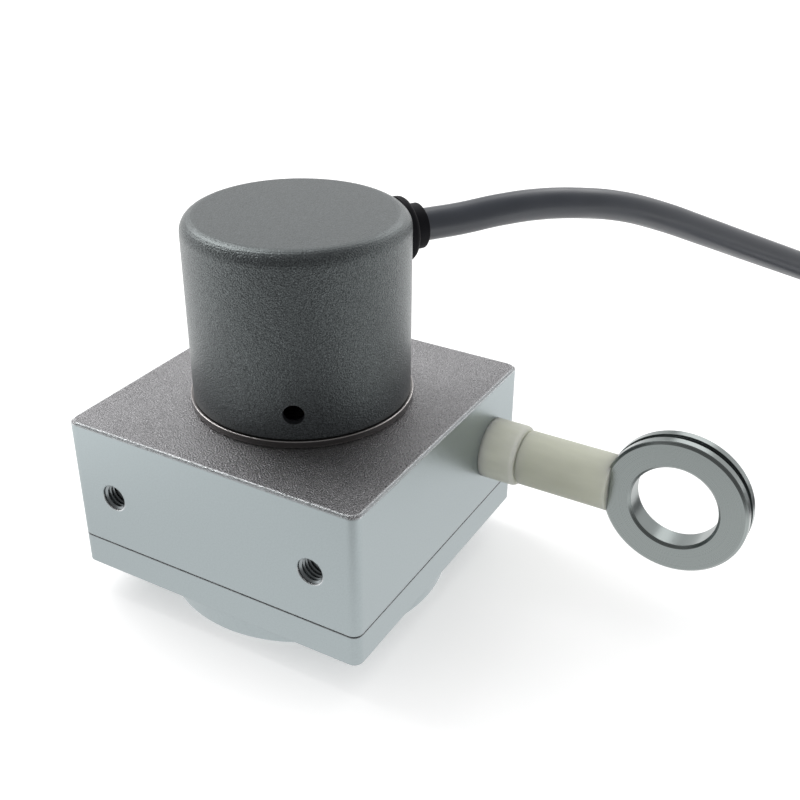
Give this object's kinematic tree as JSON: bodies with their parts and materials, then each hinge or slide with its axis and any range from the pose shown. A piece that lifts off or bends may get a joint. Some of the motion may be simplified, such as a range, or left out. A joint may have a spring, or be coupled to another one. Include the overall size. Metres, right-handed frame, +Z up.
{
  "type": "draw wire encoder",
  "caption": "Draw wire encoder: square housing with spring barrel and wire drum, round encoder on top, side wire outlet with pull ring, cable with flying leads.",
  "frame": {"origin": "centre of the spring barrel's flat bottom, which the encoder stands on, on the drum's axis", "axes": "+Z up along the drum axis, towards the encoder; +X the way the wire is pulled out; the two mounting holes face -Y"},
  "size_m": [0.1851, 0.1643, 0.0719],
  "materials": {
    "housing_metal": "bead blasted, clear anodised",
    "encoder_paint": "fine textured grey coat",
    "flange_metal": "turned",
    "collar_plastic": "moulded cream plastic, faintly translucent",
    "bumper_plastic": "moulded cream plastic, faintly translucent",
    "ring_metal": "turned, satin nickel plated",
    "grommet_rubber": "moulded, satin",
    "cable_jacket": "smooth PVC",
    "steel": "ground",
    "wire_rope": "stranded",
    "spring_steel": "blued strip",
    "brass": "turned",
    "ceramic": "polished oxide ceramic",
    "felt": "pressed felt",
    "board": "solder resist",
    "black_plastic": "moulded",
    "white_plastic": "moulded",
    "disc_plastic": "clear film disc",
    "lead_insulation": "extruded PVC"
  },
  "bodies": {
    "housing": {"main_housing": "housing_metal", "bottom_cover": "housing_metal", "cover_screws": "steel", "spring_plate": "flange_metal", "power_spring": "spring_steel", "lower_bearing_outer": "steel", "upper_bearing_outer": "steel", "wire_collar": "collar_plastic", "guide_bush": "ceramic", "wire_wiper": "felt", "encoder_base": "flange_metal", "base_screws": "steel", "encoder_can": "encoder_paint", "cable_grommet": "grommet_rubber", "cable_clamp": "black_plastic", "board_posts": "brass", "sensor_board": "board", "board_screws": "steel", "read_head": "black_plastic", "board_connector": "white_plastic", "inner_leads": "lead_insulation", "cable": "cable_jacket", "cable_coil": "cable_jacket", "cable_tail": "cable_jacket", "cable_sleeve": "grommet_rubber", "lead_wires": "lead_insulation"},
    "drum": {"drum_shaft": "steel", "spring_arbor": "steel", "wire_drum": "brass", "wound_wire": "wire_rope", "lower_bearing_inner": "steel", "upper_bearing_inner": "steel", "shaft_clip": "spring_steel", "code_hub": "brass", "code_disc": "disc_plastic", "disc_washer_ring": "steel", "hub_set_screw": "steel"},
    "wire_end": {"draw_wire": "wire_rope", "wire_ferrule": "brass"},
    "pull_eye": {"bumper_sleeve": "bumper_plastic", "swivel_barrel": "steel", "eye_loop": "wire_rope", "pull_ring": "ring_metal"}
  },
  "joints": [
    {"name": "wire_pull", "type": "slide", "parent": "housing", "child": "wire_end", "axis": [1, 0, 0], "range_m": [0, 1], "stiffness_N_per_m": 1, "springref_m": -5},
    {"name": "drum_turn", "type": "hinge", "parent": "housing", "child": "drum", "pos_m": [0, 0, 0.0241], "axis": [0, 0, 1], "range_deg": [-3000, 0]},
    {"name": "eye_swivel", "type": "hinge", "parent": "wire_end", "child": "pull_eye", "pos_m": [0.0474, 0.0191, 0.0241], "axis": [1, 0, 0], "continuous": true}
  ],
  "couplings": [
    {"joint": "drum_turn", "follows": "wire_pull", "rad_per_m": -52.356}
  ]
}
